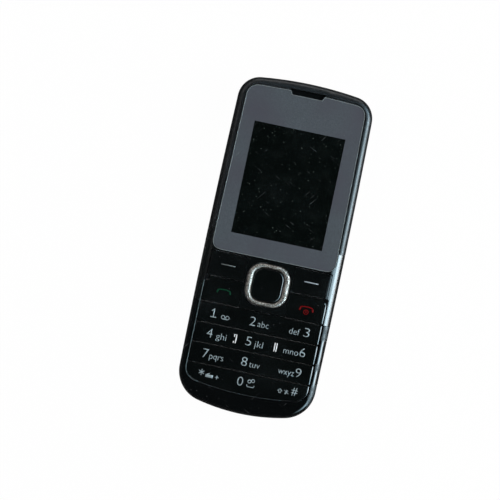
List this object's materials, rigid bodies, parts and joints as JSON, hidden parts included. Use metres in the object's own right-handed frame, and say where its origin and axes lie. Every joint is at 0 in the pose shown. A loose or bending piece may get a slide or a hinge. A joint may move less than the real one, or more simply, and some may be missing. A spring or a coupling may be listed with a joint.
{
  "type": "feature phone",
  "caption": "Candy-bar mobile phone with a square display, rocking number rows, a chrome ring round the select key, a hinged card door and a sliding back cover.",
  "frame": {"origin": "centre of the flat on the phone's back, in the plane that it lies on", "axes": "+X towards the phone's right side seen from its face, +Y towards the earpiece, +Z out of the face"},
  "size_m": [0.0448, 0.108, 0.014],
  "materials": {
    "housing": "fine matt texture, rubbed at the corners",
    "cover": "fine matt texture, scuffed where it lies on a table",
    "bezel": "dark gunmetal metallic coat",
    "fascia": "glossy black with fine scratches",
    "chin": "satin dark grey",
    "door": "glossy black",
    "window": "clear lens with a grey printed border, scratched and dusty",
    "panel": "dark display, switched off",
    "backlight": "white light guide",
    "foam": "black foam tape",
    "keys": "glossy black with printed legends",
    "chrome": "worn chrome plating",
    "silicone": "milky silicone",
    "carrier": "grey moulded plastic",
    "domes": "bright domes on a thin film",
    "guide": "thin clear white sheet",
    "frame": "plain moulded plastic",
    "board": "green solder mask",
    "shield": "tinned steel sheet",
    "steel": "plain steel",
    "blackened": "blackened steel",
    "contacts": "black block with gilded blades",
    "cell": "grey wrapped cell with a plain label",
    "sim": "white card",
    "memory": "black card",
    "jack": "black moulded socket",
    "boot": "black rubber",
    "lens": "clear window with a dark rim",
    "mesh": "woven black mesh",
    "tungsten": "sintered heavy metal",
    "antenna": "tan moulded carrier"
  },
  "bodies": {
    "phone": {"rear_housing": "housing", "camera_window": "lens", "camera_module": "jack", "loudspeaker": "steel", "headset_jack": "jack", "charger_jack": "jack", "usb_socket": "shield", "battery": "cell", "battery_contacts": "contacts", "sim_holder": "steel", "sim_card": "sim", "main_board": "board", "shield_radio": "shield", "shield_power": "shield", "card_reader": "shield", "memory_card": "memory", "motor_cradle": "boot", "vibration_motor": "steel", "microphone": "steel", "microphone_boot": "boot", "antenna": "antenna", "case_screws": "blackened", "front_frame": "frame", "display_backlight": "backlight", "display_panel": "panel", "display_gasket": "foam", "earpiece_speaker": "jack", "earpiece_mesh": "mesh", "display_window": "window", "upper_bezel": "bezel", "middle_fascia": "fascia", "lower_bezel": "chin", "door_pin": "steel", "dome_sheet": "domes", "light_guide": "guide"},
    "cover": {"battery_cover": "cover"},
    "door": {"card_door": "door"},
    "soft_left": {"soft_key_left": "keys"},
    "soft_right": {"soft_key_right": "keys"},
    "call": {"call_key": "keys"},
    "end": {"end_key": "keys"},
    "centre": {"centre_key": "keys"},
    "rocker": {"nav_carrier": "carrier"},
    "ring": {"nav_ring": "chrome"},
    "eccentric": {"vibration_weight": "tungsten"},
    "pad_1": {"row_pad_1": "silicone"},
    "row_1": {"key_row_1": "keys"},
    "pad_2": {"row_pad_2": "silicone"},
    "row_2": {"key_row_2": "keys"},
    "pad_3": {"row_pad_3": "silicone"},
    "row_3": {"key_row_3": "keys"},
    "pad_4": {"row_pad_4": "silicone"},
    "row_4": {"key_row_4": "keys"}
  },
  "joints": [
    {"name": "cover_slide", "type": "slide", "parent": "phone", "child": "cover", "axis": [0, -1, 0], "range_m": [0, 0.088]},
    {"name": "door_hinge", "type": "hinge", "parent": "phone", "child": "door", "pos_m": [0.02172, -0.03927, 0.00945], "axis": [0, 0, -1], "range_deg": [0, 95]},
    {"name": "soft_left_press", "type": "slide", "parent": "phone", "child": "soft_left", "axis": [0, 0, -1], "range_m": [0, 0.0003], "stiffness_N_per_m": 900},
    {"name": "soft_right_press", "type": "slide", "parent": "phone", "child": "soft_right", "axis": [0, 0, -1], "range_m": [0, 0.0003], "stiffness_N_per_m": 900},
    {"name": "call_press", "type": "slide", "parent": "phone", "child": "call", "axis": [0, 0, -1], "range_m": [0, 0.0003], "stiffness_N_per_m": 900},
    {"name": "end_press", "type": "slide", "parent": "phone", "child": "end", "axis": [0, 0, -1], "range_m": [0, 0.0003], "stiffness_N_per_m": 900},
    {"name": "centre_press", "type": "slide", "parent": "phone", "child": "centre", "axis": [0, 0, -1], "range_m": [0, 0.0003], "stiffness_N_per_m": 900},
    {"name": "nav_tilt_up_down", "type": "hinge", "parent": "phone", "child": "rocker", "pos_m": [0, -0.01192, 0.0106], "axis": [1, 0, 0], "range_deg": [-1.5, 1.5], "stiffness_Nm_per_rad": 0.02},
    {"name": "nav_tilt_left_right", "type": "hinge", "parent": "rocker", "child": "ring", "pos_m": [0, -0.01192, 0.0106], "axis": [0, 1, 0], "range_deg": [-1.5, 1.5], "stiffness_Nm_per_rad": 0.02},
    {"name": "weight_spin", "type": "hinge", "parent": "phone", "child": "eccentric", "pos_m": [-0.0067, -0.034, 0.0049], "axis": [1, 0, 0], "continuous": true},
    {"name": "row_1_press", "type": "slide", "parent": "phone", "child": "pad_1", "axis": [0, 0, -1], "range_m": [0, 0.0003], "stiffness_N_per_m": 900},
    {"name": "row_1_rock", "type": "hinge", "parent": "pad_1", "child": "row_1", "pos_m": [0, -0.02405, 0.01135], "axis": [0, 1, 0], "range_deg": [-0.6, 0.6], "stiffness_Nm_per_rad": 0.1},
    {"name": "row_2_press", "type": "slide", "parent": "phone", "child": "pad_2", "axis": [0, 0, -1], "range_m": [0, 0.0003], "stiffness_N_per_m": 900},
    {"name": "row_2_rock", "type": "hinge", "parent": "pad_2", "child": "row_2", "pos_m": [0, -0.03065, 0.01135], "axis": [0, 1, 0], "range_deg": [-0.6, 0.6], "stiffness_Nm_per_rad": 0.1},
    {"name": "row_3_press", "type": "slide", "parent": "phone", "child": "pad_3", "axis": [0, 0, -1], "range_m": [0, 0.0003], "stiffness_N_per_m": 900},
    {"name": "row_3_rock", "type": "hinge", "parent": "pad_3", "child": "row_3", "pos_m": [0, -0.0372, 0.01135], "axis": [0, 1, 0], "range_deg": [-0.6, 0.6], "stiffness_Nm_per_rad": 0.1},
    {"name": "row_4_press", "type": "slide", "parent": "phone", "child": "pad_4", "axis": [0, 0, -1], "range_m": [0, 0.0003], "stiffness_N_per_m": 900},
    {"name": "row_4_rock", "type": "hinge", "parent": "pad_4", "child": "row_4", "pos_m": [0, -0.044, 0.01135], "axis": [0, 1, 0], "range_deg": [-0.6, 0.6], "stiffness_Nm_per_rad": 0.1}
  ]
}
